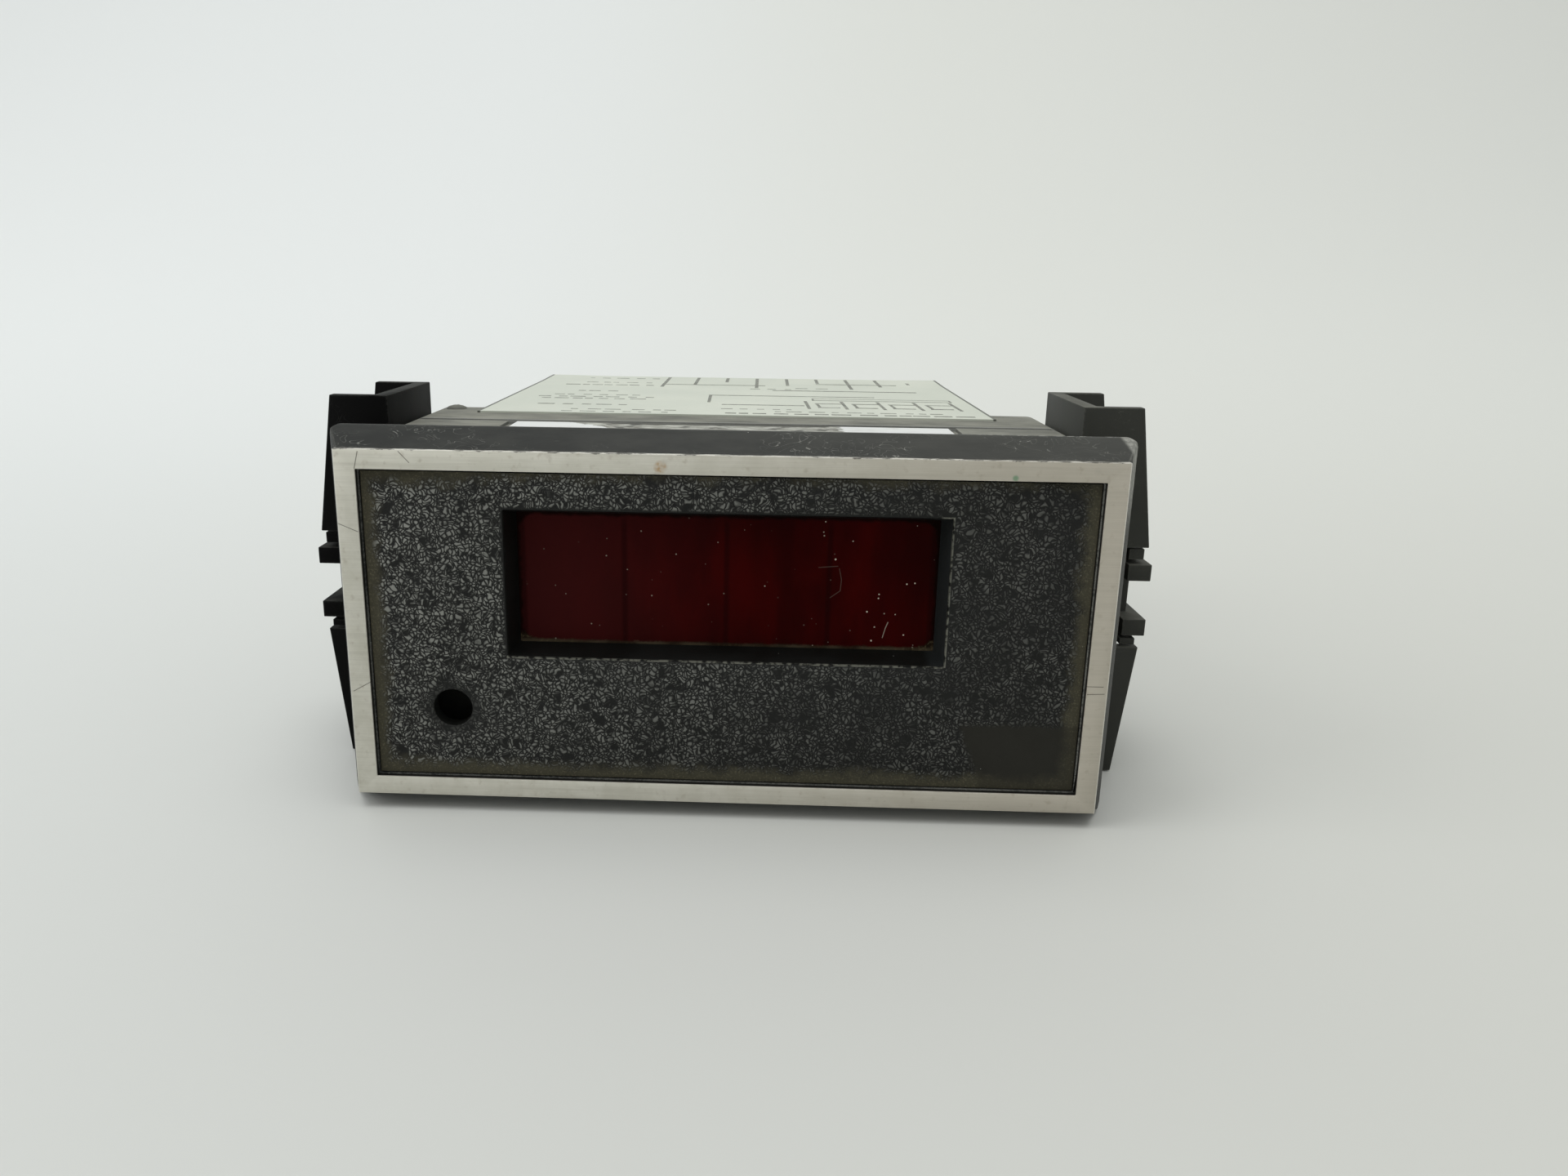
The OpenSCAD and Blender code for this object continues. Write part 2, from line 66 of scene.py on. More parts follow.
# Stage -------------------------------------------------------------------------------------
# A pale seamless sheet that lies flat under the meter and curves up behind it, and soft light
# from a big window at the left, a ceiling panel above and the room.
bpy.ops.object.select_all(action="DESELECT")
bpy.ops.mesh.primitive_plane_add(size=4, location=(0, -0.9, 0))
sweep = bpy.context.object
sweep.name = "sweep"
bpy.ops.object.transform_apply(location=True, rotation=True, scale=True)
bpy.ops.object.mode_set(mode="EDIT")
bpy.ops.mesh.select_all(action="DESELECT")
bpy.ops.mesh.select_mode(type="EDGE")
sheet = bmesh.from_edit_mesh(sweep.data)
for edge in sheet.edges:
    edge.select = all(corner.co.y > 1 for corner in edge.verts)
bpy.ops.mesh.extrude_region_move(TRANSFORM_OT_translate={"value": (0, 0, 2.5)})
bpy.ops.mesh.select_all(action="DESELECT")
sheet = bmesh.from_edit_mesh(sweep.data)
for edge in sheet.edges:
    edge.select = all(corner.co.y > 1 and abs(corner.co.z) < 1e-6 for corner in edge.verts)
bpy.ops.mesh.bevel(offset=0.9, segments=32)
bpy.ops.object.mode_set(mode="OBJECT")
bpy.ops.object.shade_smooth()


class Socket:
    """One output of a node, whose sums and products are written as sums and products."""

    def __init__(self, graph, output):
        self.graph, self.output = graph, output

    def math(self, operation, *terms):
        return self.graph.add("ShaderNodeMath", {"operation": operation}, dict(enumerate(terms)))

    def __add__(self, other):
        return self.math("ADD", self, other)

    def __radd__(self, other):
        return self.math("ADD", other, self)

    def __sub__(self, other):
        return self.math("SUBTRACT", self, other)

    def __rsub__(self, other):
        return self.math("SUBTRACT", other, self)

    def __mul__(self, other):
        return self.math("MULTIPLY", self, other)

    def __rmul__(self, other):
        return self.math("MULTIPLY", other, self)

    def __truediv__(self, other):
        return self.math("DIVIDE", self, other)

    def __abs__(self):
        return self.math("ABSOLUTE", self)

    def at_least(self, other):
        return self.math("MAXIMUM", self, other)

    def at_most(self, other):
        return self.math("MINIMUM", self, other)

    def fade(self, low, high):
        """0 below low, 1 above high, smooth between, or the other way round if high < low."""
        return self.graph.add(
            "ShaderNodeMapRange",
            {"interpolation_type": "SMOOTHSTEP"},
            {"Value": self, "From Min": low, "From Max": high},
        )


class Graph:
    """A tree of nodes, which add makes."""

    def __init__(self, tree):
        self.tree = tree

    def add(self, kind, settings=None, inputs=None, output=0):
        node = self.tree.nodes.new(kind)
        for key, value in (settings or {}).items():
            setattr(node, key, value)
        for key, value in (inputs or {}).items():
            self.feed(node.inputs[key], value)
        return Socket(self, node.outputs[output])

    def feed(self, socket, value):
        if isinstance(value, Socket):
            self.tree.links.new(value.output, socket)
        elif socket.type == "RGBA" and len(value) == 3:
            socket.default_value = (*value, 1)
        else:
            socket.default_value = value


class Finish(Graph):
    """A material, with Principled as its shader."""

    def __init__(self, name):
        self.material = bpy.data.materials.new(name)
        self.material.use_nodes = True
        super().__init__(self.material.node_tree)
        self.shader = self.tree.nodes["Principled BSDF"]

    def set(self, **inputs):
        for key, value in inputs.items():
            self.feed(self.shader.inputs[key.replace("_", " ")], value)
        return self.material

    def place(self, centre=front, stretch=(1, 1, 1)):
        """The surface point in millimetres from a centre, stretched where a pattern is."""
        spot = self.add("ShaderNodeTexCoord", output="Object")
        moved = self.add("ShaderNodeVectorMath", {"operation": "SUBTRACT"}, {0: spot, 1: centre})
        scale = [1000 / s for s in stretch]
        return self.add("ShaderNodeVectorMath", {"operation": "MULTIPLY"}, {0: moved, 1: scale})

    def axes(self, vector):
        return [self.add("ShaderNodeSeparateXYZ", inputs={0: vector}, output=i) for i in range(3)]

    def noise(self, vector, size, detail=2.0, distortion=0.0, roughness=0.5):
        """Soft noise from 0 to 1 whose lumps are about size millimetres across."""
        return self.add(
            "ShaderNodeTexNoise",
            inputs={
                "Vector": vector, "Scale": 1 / size, "Detail": detail,
                "Roughness": roughness, "Distortion": distortion,
            },
        )

    def specks(self, vector, pitch, radius, share):
        """Round dots of about radius millimetres, on a share of the cells of a loose grid."""
        cells = {"Vector": vector, "Scale": 1 / pitch, "Randomness": 1.0}
        gap = self.add("ShaderNodeTexVoronoi", inputs=cells, output="Distance")
        draw = self.add("ShaderNodeTexVoronoi", inputs=cells, output="Color")
        luck, size, _ = self.axes(draw)
        dot = (gap * pitch / (radius * (0.4 + size))).fade(1.0, 0.6)
        return dot * luck.fade(1 - share, 1 - share + 0.01)

    def mix(self, mask, plain, marked):
        """plain where mask is 0 and marked where it is 1."""
        return self.add(
            "ShaderNodeMix", {"data_type": "RGBA"}, {"Factor": mask, 6: plain, 7: marked}, output=2
        )

    def facing(self, axis):
        """How far the surface faces along an axis, from -1 to 1."""
        normal = self.add("ShaderNodeNewGeometry", output="Normal")
        return self.axes(normal)[axis]

    def edges(self, width):
        """1 on the sharp outer and inner edges of a piece, 0 on its flats."""
        rounded = self.add("ShaderNodeBevel", {"samples": 4}, {"Radius": width * MM})
        normal = self.add("ShaderNodeNewGeometry", output="Normal")
        agree = self.add(
            "ShaderNodeVectorMath", {"operation": "DOT_PRODUCT"}, {0: rounded, 1: normal}, "Value"
        )
        return agree.fade(0.995, 0.86)

    def bump(self, height, depth, strength=1.0):
        """A normal for height, in units of depth millimetres."""
        return self.add(
            "ShaderNodeBump", inputs={"Height": height, "Distance": depth * MM, "Strength": strength}
        )


def tone(red, green, blue):
    """A colour from its 0 to 255 display values."""
    shares = (red / 255, green / 255, blue / 255)
    return tuple(((c + 0.055) / 1.055) ** 2.4 if c > 0.04 else c / 12.92 for c in shares)


paper = Finish("paper")
paper_spot = paper.place(Vector((0, 0, 0)))
paper_x, paper_y, _ = paper.axes(paper_spot)
# Painted light: the sheet is painted lighter at the left and further back, a painted falloff of the light on
# it.
away = paper_y.fade(-160, 500)
cloudy = paper.noise(paper_spot, 300, detail=1)
paper.set(
    Base_Color=paper.mix(
        paper_x.fade(-240, 160),
        paper.mix(away, tone(221, 224, 222), tone(238, 241, 240)),
        paper.mix(away, tone(214, 215, 209), tone(234, 236, 231)),
    ),
    Roughness=0.7 + 0.1 * cloudy,
)
paper.shader.inputs["Specular IOR Level"].default_value = 0.2
sweep.data.materials.append(paper.material)

room = bpy.data.worlds.new("room")
room.use_nodes = True
air = Graph(room.node_tree)
camera_ray, glossy_ray, clear_ray = (
    air.add("ShaderNodeLightPath", output=f"Is {kind} Ray") for kind in ("Camera", "Glossy", "Transmission")
)
seen = camera_ray.at_least(glossy_ray).at_least(clear_ray)
glow = air.add("ShaderNodeMapRange", inputs={"Value": seen, "To Min": 0.4, "To Max": 0.72})
background = room.node_tree.nodes["Background"]
air.feed(background.inputs["Color"], (0.985, 1.0, 0.99))
air.feed(background.inputs["Strength"], glow)
bpy.context.scene.world = room
for name, place, aim, size, watts in (
    ("window", (-1.1, -0.35, 0.8), (0, 0, 0.03), 0.8, 3.8),
    ("ceiling", (-0.1, -0.15, 1.7), (0, 0, 0.02), 1.5, 14.5),
):
    bpy.ops.object.light_add(type="AREA", location=place)
    lamp = bpy.context.object
    lamp.name = name
    lamp.data.size = size
    lamp.data.energy = watts
    lamp.rotation_euler = (Vector(place) - Vector(aim)).to_track_quat("Z", "Y").to_euler()


# Bezel -------------------------------------------------------------------------------------
# The moulded dark grey frame that widens back to the panel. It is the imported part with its
# faces joined up and its edges rounded as a mould rounds them.
def select_only(piece):
    bpy.ops.object.select_all(action="DESELECT")
    piece.select_set(True)
    bpy.context.view_layer.objects.active = piece


def modify(piece, kind, **settings):
    """Adds one modifier and applies it."""
    select_only(piece)
    bpy.ops.object.modifier_add(type=kind)
    modifier = piece.modifiers[-1]
    for key, value in settings.items():
        setattr(modifier, key, value)
    bpy.ops.object.modifier_apply(modifier=modifier.name)


def soften(piece, width, segments=2, angle=30):
    """Rounds every edge sharper than angle, and shades the rounds smooth."""
    modify(
        piece, "BEVEL", width=width * MM, segments=segments, limit_method="ANGLE",
        angle_limit=math.radians(angle), use_clamp_overlap=False, miter_outer="MITER_ARC",
        harden_normals=False,
    )
    select_only(piece)
    bpy.ops.object.shade_smooth_by_angle(angle=math.radians(35))


def joined_copy(node, name):
    """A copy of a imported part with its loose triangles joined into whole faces."""
    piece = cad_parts[node].copy()
    piece.data = piece.data.copy()
    piece.name = name
    for key in list(piece.keys()):
        del piece[key]
    piece.parent = None
    piece.data.materials.clear()
    bpy.context.scene.collection.objects.link(piece)
    select_only(piece)
    if piece.data.has_custom_normals:
        bpy.ops.mesh.customdata_custom_splitnormals_clear()
    bpy.ops.object.mode_set(mode="EDIT")
    bpy.ops.mesh.select_all(action="SELECT")
    bpy.ops.mesh.remove_doubles(threshold=2e-6)
    bpy.ops.mesh.dissolve_limited(angle_limit=math.radians(0.5))
    bpy.ops.object.mode_set(mode="OBJECT")
    return piece


def settle(piece, body, slot, material, *nodes):
    """Gives a finished piece its material and its body, and hides what it replaces. slot is not used."""
    piece.data.materials.clear()
    piece.data.materials.append(material)
    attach(piece, body)
    if nodes:
        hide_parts(*nodes)


def chipped(finish):
    """The bezel's rear corner at the right, where the surface has flaked off pale."""
    x, y, z = finish.axes(finish.place())
    flakes = finish.noise(finish.place(), 0.7, detail=4, roughness=0.65).fade(0.46, 0.56)
    corner = (x + 0.2 * y).fade(47.0, 47.7) * z.fade(12, 19) * (0.6 + 0.4 * flakes)
    rear_edge = (y + 0.4 * flakes).fade(5.9, 6.3) * z.fade(22, 23) * x.fade(24, 34)
    return (corner + rear_edge * flakes).at_most(1)


def moulded(
    name, shade, gloss=0.45, dusty=0.35, worn=0.5, dust_tone=(150, 150, 142),
    wear_tone=(150, 151, 146), shine=0.25, streak=(0.3, 0.75), right_side_light=0.0, wear_and_light_mask=None,
):
    """Moulded plastic: faint mottling, dust on what faces up, pale rubbed edges, specks.

    right_side_light paints the colour paler towards the right in the dust tone, a painted light, and
    wear_and_light_mask gives a mask of places painted in the wear tone, for wear and for painted light.
    """
    finish = Finish(name)
    finish.shader.inputs["Specular IOR Level"].default_value = shine
    spot = finish.place()
    mottle = finish.noise(spot, 9, detail=3)
    fine = finish.noise(spot, 0.35, detail=3)
    smear = finish.noise(finish.place(stretch=(2, 1, 1)), 3.5, detail=4, roughness=0.6)
    upward = finish.facing(2).fade(0.2, 0.9)
    film = (0.02 + 0.98 * upward) * smear.fade(*streak) * dusty
    scuffs = finish.noise(finish.place(stretch=(14, 14, 1)), 0.5, detail=2, distortion=0.6).fade(0.72, 0.78)
    rubbed = finish.edges(0.4) * (fine * 0.7 + mottle * 0.6).fade(0.5, 0.72) * worn
    dots = finish.specks(spot, 2.3, 0.1, 0.35)
    hairline = finish.noise(finish.place(stretch=(2, 2, 1)), 1.6, detail=1, distortion=2.5)
    hairline = abs(hairline - 0.5).fade(0.008, 0.0) * mottle.fade(0.5, 0.62)
    dark, light = ([c * factor for c in tone(*shade)] for factor in (0.86, 1.12))
    colour = finish.mix(mottle.fade(0.2, 0.8), dark, light)
    across, _, _ = finish.axes(spot)
    # Painted light: the colour is painted paler towards the right.
    colour = finish.mix(across.fade(-52, 52) * right_side_light, colour, tone(*dust_tone))
    colour = finish.mix(film, colour, tone(*dust_tone))
    wear = (scuffs * 0.1 + hairline * worn * 0.5 + rubbed).at_most(1)
    colour = finish.mix(wear, colour, tone(*wear_tone))
    colour = finish.mix(dots * 0.7 * upward.fade(-0.5, 0.6), colour, tone(214, 214, 206))
    # The mask's places are painted in the wear tone: worn places, and painted light.
    if wear_and_light_mask:
        colour = finish.mix(wear_and_light_mask(finish) * 0.75, colour, tone(*wear_tone))
    return finish.set(
        Base_Color=colour,
        Roughness=gloss + film * 0.35 + 0.1 * (mottle - 0.5),
        Normal=finish.bump(fine + 0.4 * smear, 0.02, 0.5),
    )


bezel = joined_copy("bezel", "bezel_frame")
soften(bezel, 0.18, 3)
bezel_plastic = moulded(
    "bezel_plastic", (31, 33, 31), gloss=0.62, dusty=0.06, worn=1.0, wear_tone=(176, 176, 168),
    right_side_light=0.11, wear_and_light_mask=chipped,
)
settle(bezel, "housing", "bezel_plastic", bezel_plastic, "bezel")


# Rim ---------------------------------------------------------------------------------------
# A thin aluminium frame, stamped from brushed sheet and glued on the bezel. Its brush lines
# run left to right, its edges are chipped bright, and it has a few scratches and stains.
def edit(piece, mode="FACE"):
    select_only(piece)
    bpy.ops.object.mode_set(mode="EDIT")
    bpy.ops.mesh.select_mode(type=mode)
    bpy.ops.mesh.select_all(action="DESELECT")


def pick(piece, parts, test):
    """Selects the faces, edges or vertices that a test is true for, and nothing else."""
    bpy.ops.mesh.select_all(action="DESELECT")
    mesh = bmesh.from_edit_mesh(piece.data)
    for part in getattr(mesh, parts):
        if test(part):
            part.select_set(True)
    bmesh.update_edit_mesh(piece.data)


def finish_edit():
    bpy.ops.object.mode_set(mode="OBJECT")


def box(name, low, high):
    """A box between two corners, as a piece with its place in its mesh."""
    low, high = Vector(low), Vector(high)
    bpy.ops.object.select_all(action="DESELECT")
    bpy.ops.mesh.primitive_cube_add(size=1, location=(low + high) / 2, scale=high - low)
    piece = bpy.context.object
    piece.name = name
    bpy.ops.object.transform_apply(location=True, rotation=True, scale=True)
    return piece


panel_low, panel_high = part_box("front_panel")
rim = box("rim", rim_low, rim_high)
edit(rim)
groove = 0.25 * MM
first_inset = 1 * MM
inner = panel_high - panel_low + Vector((2, 0, 2)) * groove
outer = rim_high - rim_low
pick(rim, "faces", lambda face: abs(face.normal.y) > 0.9)
bpy.ops.mesh.inset(thickness=first_inset, use_individual=True)
bpy.ops.transform.resize(
    value=(inner.x / (outer.x - 2 * first_inset), 1, inner.z / (outer.z - 2 * first_inset)),
    center_override=front + Vector((0, outer.y / 2, 0)),
)
bpy.ops.mesh.bridge_edge_loops()
finish_edit()
soften(rim, 0.09, 2)

brushed = Finish("rim_metal")
rim_spot = brushed.place()
rim_x, rim_y, rim_z = brushed.axes(rim_spot)
lines = brushed.noise(brushed.place(stretch=(60, 1, 1)), 0.09, detail=2)
broad_lines = brushed.noise(brushed.place(stretch=(40, 1, 1)), 0.6, detail=3)
cloud = brushed.noise(rim_spot, 5, detail=4, roughness=0.65)
blotch = brushed.noise(rim_spot, 1.1, detail=3).fade(0.56, 0.75)
chips = brushed.edges(0.16) * brushed.noise(rim_spot, 0.8, detail=3).fade(0.42, 0.6)
rim_half_w, rim_half_h = (rim_high.x - rim_low.x) / 2 / MM, (rim_high.z - rim_low.z) / 2 / MM
frayed = brushed.noise(brushed.place(stretch=(2.5, 1, 1)), 0.8, detail=4, roughness=0.7)
top_line = (rim_z + frayed * 0.16 - rim_half_h).fade(-0.02, 0.06)
top_gap_shade = (rim_z + frayed * 0.8 - rim_half_h).fade(0.36, 0.44)
side_line = (abs(rim_x) + frayed * 0.2 - rim_half_w).fade(-0.08, 0.02)


def near_line(across, along, start, end, width):
    """1 on a straight scratch between two points of a face, 0 away from it."""
    run, rise = end[0] - start[0], end[1] - start[1]
    length = math.hypot(run, rise)
    u, v = across - start[0], along - start[1]
    ahead = (u * (run / length) + v * (rise / length)).at_least(0).at_most(length)
    off_x, off_z = u - ahead * (run / length), v - ahead * (rise / length)
    return (off_x * off_x + off_z * off_z).fade(width ** 2, (width * 0.4) ** 2)


def near_point(across, along, centre, radius, soft):
    """1 within radius of a point of a face, fading to 0 over soft more."""
    u, v = across - centre[0], along - centre[1]
    return (u * u + v * v).fade((radius + soft) ** 2, radius ** 2)


scratches = near_line(rim_x, rim_z, (-43.0, 21.6), (-43.5, 19.6), 0.07)
for start, end in (
    ((-38.2, 21.7), (-37.0, 20.4)), ((-46.0, 13.0), (-43.6, 12.0)), ((43.6, -6.2), (45.6, -6.1)),
    ((43.5, -5.2), (45.4, -5.2)), ((-43.5, -7.0), (-45.6, -8.2)),
):
    scratches = scratches.at_least(near_line(rim_x, rim_z, start, end, 0.06))
pits = brushed.specks(rim_spot, 2.6, 0.1, 0.16)
patchy = 0.35 + 0.65 * brushed.noise(rim_spot, 0.9).fade(0.4, 0.6)
stain = near_point(rim_x, rim_z, (-7.7, 20.4), 0.1, 0.8) * patchy
ink_spot = near_point(rim_x, rim_z, (33.0, 19.9), 0.1, 0.35)
metal = brushed.mix(cloud.fade(0.3, 0.75), tone(208, 206, 193), tone(228, 226, 215))
# Painted light: the rim's upper left is painted lighter and its right side darker, as the light falls from
# the left.
metal = brushed.mix(rim_x.fade(20, -46) * rim_z.fade(14, 19) * 0.5, metal, tone(240, 238, 226))
metal = brushed.mix(rim_x.fade(-20, 46) * 0.8, metal, tone(190, 182, 168))
metal = brushed.mix(lines * 0.34 + broad_lines.fade(0.4, 0.8) * 0.2, metal, tone(160, 155, 141))
metal = brushed.mix(blotch * 0.28, metal, tone(150, 138, 118))
metal = brushed.mix(cloud.fade(0.56, 0.74) * 0.4, metal, tone(166, 160, 147))
metal = brushed.mix(scratches * 0.75 + pits * 0.75, metal, tone(70, 66, 58))
metal = brushed.mix(stain * 0.85, metal, tone(172, 132, 76))
metal = brushed.mix(ink_spot * 0.6, metal, tone(60, 140, 96))
metal = brushed.mix((chips * 0.8 + (top_line + side_line) * 0.55).at_most(1), metal, tone(232, 230, 222))
# Painted shade: dark flecks along the rim's top edge stand for the shaded gap between rim and bezel.
metal = brushed.mix(top_gap_shade * 0.8, metal, tone(58, 56, 48))
# Painted shade: the walls inside the rim's opening, behind its face, are painted dark.
inside = (rim_half_w - 1 - abs(rim_x)).fade(0, 0.5) * (rim_half_h - 1 - abs(rim_z)).fade(0, 0.5)
metal = brushed.mix(rim_y.fade(0.12, 0.24) * inside, metal, tone(26, 25, 21))
rim_metal = brushed.set(
    Base_Color=metal, Metallic=0.4,
    Roughness=0.46 + 0.16 * lines + 0.1 * blotch,
    Normal=brushed.bump(lines + 0.5 * broad_lines - 2 * scratches, 0.006, 0.5),
)
settle(rim, "housing", "rim_metal", rim_metal, "bezel_trim")


# Front panel -------------------------------------------------------------------------------
# One dark moulding with a leather grain. The window recess has smooth sloping walls, the
# adjuster hole a smooth patch round it, and the place of the maker's emblem is left bare.
def cut_out(piece, cutter):
    """Takes the cutter's shape out of the piece."""
    modify(piece, "BOOLEAN", operation="DIFFERENCE", object=cutter, solver="EXACT")
    bpy.data.objects.remove(cutter)


glass_low, glass_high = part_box("display_window")
window = (glass_low + glass_high) / 2
lap, slope, hole_r = 1.9 * MM, 0.9 * MM, 2.4 * MM
rotor_low, rotor_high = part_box("trimmer_screw")
adjuster = (rotor_low + rotor_high) / 2
panel_t = 2 * MM
collar_inset = 4 * MM
collar_lap = 3.2 * MM
panel_back = panel_low.y + panel_t
panel = box("panel_grained", panel_low, (panel_high.x, panel_back, panel_high.z))
edit(panel)
pick(panel, "faces", lambda face: face.normal.y > 0.9)
bpy.ops.mesh.inset(thickness=collar_inset)
glass, sheet_size = glass_high - glass_low, panel_high - panel_low
bpy.ops.transform.resize(
    value=(
        (glass.x + collar_lap) / (sheet_size.x - 2 * collar_inset), 1,
        (glass.z + collar_lap) / (sheet_size.z - 2 * collar_inset),
    ),
    center_override=(0, panel_back, front.z),
)
bpy.ops.transform.translate(value=(window.x, 0, window.z - front.z))
bpy.ops.mesh.extrude_region_move(TRANSFORM_OT_translate={"value": (0, panel_high.y - panel_back, 0)})
finish_edit()

funnel = box("funnel", (glass_low.x + lap, panel_low.y - 1 * MM, glass_low.z + lap),
             (glass_high.x - lap, glass_low.y, glass_high.z - lap))
edit(funnel)
pick(funnel, "faces", lambda face: face.normal.y < -0.9)
bpy.ops.transform.translate(value=(0, 1 * MM, 0))
half = (glass_high - glass_low) / 2 - Vector((lap, 0, lap))
bpy.ops.transform.resize(
    value=(1 + slope / half.x, 1, 1 + slope / half.z), center_override=(window.x, panel_low.y, window.z)
)
bpy.ops.mesh.extrude_region_move(TRANSFORM_OT_translate={"value": (0, -1 * MM, 0)})
bpy.ops.mesh.select_all(action="SELECT")
bpy.ops.mesh.normals_make_consistent(inside=False)
finish_edit()
cut_out(panel, funnel)
play = 0.15 * MM
cut_out(panel, box("pocket", glass_low - Vector((play, 0, play)), glass_high + Vector((play, 1 * MM, play))))
bpy.ops.object.select_all(action="DESELECT")
bpy.ops.mesh.primitive_cylinder_add(
    vertices=96, radius=hole_r, depth=8 * MM, location=(adjuster.x, panel_low.y, adjuster.z),
    rotation=(math.pi / 2, 0, 0))
cut_out(panel, bpy.context.object)
soften(panel, 0.16, 3)

grained = Finish("grained_panel")
spot = grained.place()
px, py, pz = grained.axes(spot)
half_w, half_h = (panel_high.x - panel_low.x) / 2 / MM, (panel_high.z - panel_low.z) / 2 / MM
from_side = half_w - abs(px)
from_top = half_h - abs(pz) + pz.fade(0, 12) * px.fade(-38, -20) * 1.2
border = from_side.at_most(from_top)
wobble = grained.noise(spot, 2.2, detail=3)
grain_field = (border + (wobble - 0.5) * 1.8).fade(0.6, 1.9)
hole_x, hole_z = (adjuster.x - front.x) / MM, (adjuster.z - front.z) / MM
hole_patch = near_point(px, pz, (hole_x, hole_z), 2.5, 1.8)
win_x, win_z = (window.x - front.x) / MM, (window.z - front.z) / MM
ring_x = abs(px - win_x) - (half.x + slope) / MM
ring_z = abs(pz - win_z) - (half.z + slope) / MM
ring = ring_x.at_least(ring_z)
face_y = (panel_low.y - front.y) / MM
flat_front = py.fade(face_y + 0.2, face_y + 0.08)
emblem_x = px + (pz + 15) * 0.35
emblem = (emblem_x - 30.2 + wobble).fade(0, 1.2) * (pz + 10.8 + wobble).fade(0.9, 0)
swirl = grained.add("ShaderNodeTexNoise", inputs={"Vector": spot, "Scale": 0.75, "Detail": 1.5}, output=1)
swirl = grained.add("ShaderNodeVectorMath", {"operation": "MULTIPLY"}, {0: swirl, 1: (1.7, 0, 1.7)})
curled = grained.add("ShaderNodeVectorMath", {"operation": "ADD"}, {0: spot, 1: swirl})
pebble_pitch = 0.46
pebble = pebble_pitch * grained.add(
    "ShaderNodeTexVoronoi", {"feature": "DISTANCE_TO_EDGE"}, {"Vector": curled, "Scale": 1 / pebble_pitch}
)
broken = grained.noise(curled, 1.3, detail=1).fade(0.3, 0.44)
ridges = pebble.fade(0.02, 0.13) * broken
polish = grained.noise(spot, 7.5, detail=3, roughness=0.6).fade(0.33, 0.68)
grain = grain_field * flat_front * ring.fade(0.15, 0.6) * (1 - hole_patch * 0.85) * (1 - emblem)
crests = ridges * grain
dirt = (border + (wobble - 0.5) * 3.0).fade(2.6, 0.5) * flat_front
grime = (1 - crests * 0.6) * dirt
lint = grained.specks(spot, 1.1, 0.05, 0.3)
silt = grained.noise(spot, 0.28, detail=4, roughness=0.7)
left_light = (px - 0.8 * pz).fade(34, -46)
lit = 0.11 + 0.26 * polish + 0.58 * left_light
sunk = py.fade(face_y + 0.1, face_y + 0.3)
shade = grained.mix(crests * lit.at_most(1), tone(19, 20, 18), tone(146, 147, 141))
# Painted shade and light: the recess walls are painted near black, and the right wall, which faces the
# window lamp, is painted lighter.
walls = grained.mix((px - win_x).fade(24, 25.4), tone(11, 12, 10), tone(30, 33, 33))
shade = grained.mix(sunk * (1 - hole_patch), shade, walls)
shade = grained.mix(grime * 0.75, shade, tone(80, 77, 62))
shade = grained.mix(dirt * silt.fade(0.5, 0.72) * 0.5, shade, tone(126, 121, 100))
shade = grained.mix(emblem * flat_front * 0.5, shade, tone(46, 44, 36))
# Painted highlight: a broken pale line along the recess edge at the right and the bottom, where the edge
# catches the light.
broken_line = grained.noise(spot, 0.7, detail=4).fade(0.4, 0.56)
lip_highlight = ring.fade(0.26, 0.1) * ring.fade(-0.1, 0.02) * flat_front * broken_line
lit_lip_side = (px - win_x - 24).fade(0, 2).at_least((win_z - pz - 8.6).fade(0, 0.4))
shade = grained.mix(lip_highlight * lit_lip_side * 0.6, shade, tone(150, 150, 138))
shade = grained.mix(lint * 0.75, shade, tone(176, 178, 172))
grained.shader.inputs["Specular IOR Level"].default_value = 0.22
grained_panel = grained.set(
    Base_Color=shade,
    Roughness=0.5 + 0.16 * polish - 0.12 * crests + 0.2 * grime - 0.1 * sunk,
    Normal=grained.bump(crests + 0.12 * grained.noise(spot, 0.2), 0.16, 0.9),
)
settle(panel, "housing", "grained_panel", grained_panel, "front_panel")


# Window filter -----------------------------------------------------------------------------
# A dark red acrylic plate behind the recess. Faint upright bands show where the digits stand
# behind it; dust, a few hairs and grime in its lower corners lie on it.
plate = box("red_plate", glass_low, glass_high)
edit(plate, "EDGE")
pick(plate, "edges", lambda edge: abs(edge.verts[0].co.y - edge.verts[1].co.y) > 1 * MM)
bpy.ops.mesh.bevel(offset=0.8 * MM, segments=5, affect="EDGES")
pick(plate, "faces", lambda face: face.normal.y < -0.9)
bpy.ops.mesh.inset(thickness=0.5 * MM)
finish_edit()
soften(plate, 0.1, 2, angle=50)

red = Finish("red_filter")
spot = red.place()
gx, _, gz = red.axes(spot)
pitch = 12.5
digit_x = gx - win_x
bands = red.add("ShaderNodeMath", {"operation": "PINGPONG"}, {0: digit_x + 100 * pitch, 1: pitch / 2})
band_edge = bands.fade(0.55, 0.1) * gz.fade(14.5, 12.0)
glow = red.noise(red.place(stretch=(1, 1, 3)), 5.0, detail=3).fade(0.3, 0.75)
left_haze_and_sheen = gx.fade(6, -26)
half_x, half_z = half.x / MM, half.z / MM
round_r = 2.2
inset_x = (abs(gx - win_x) - (half_x - round_r)).at_least(0)
inset_z = (abs(gz - win_z) - (half_z - round_r)).at_least(0)
outline = inset_x.math("SQRT", inset_x * inset_x + inset_z * inset_z)
grit = red.noise(spot, 0.35, detail=4, roughness=0.7)
smudge = red.noise(spot, 1.4, detail=4)
rimmed = (outline + (smudge - 0.5) * 0.8).fade(1.65, 2.15)
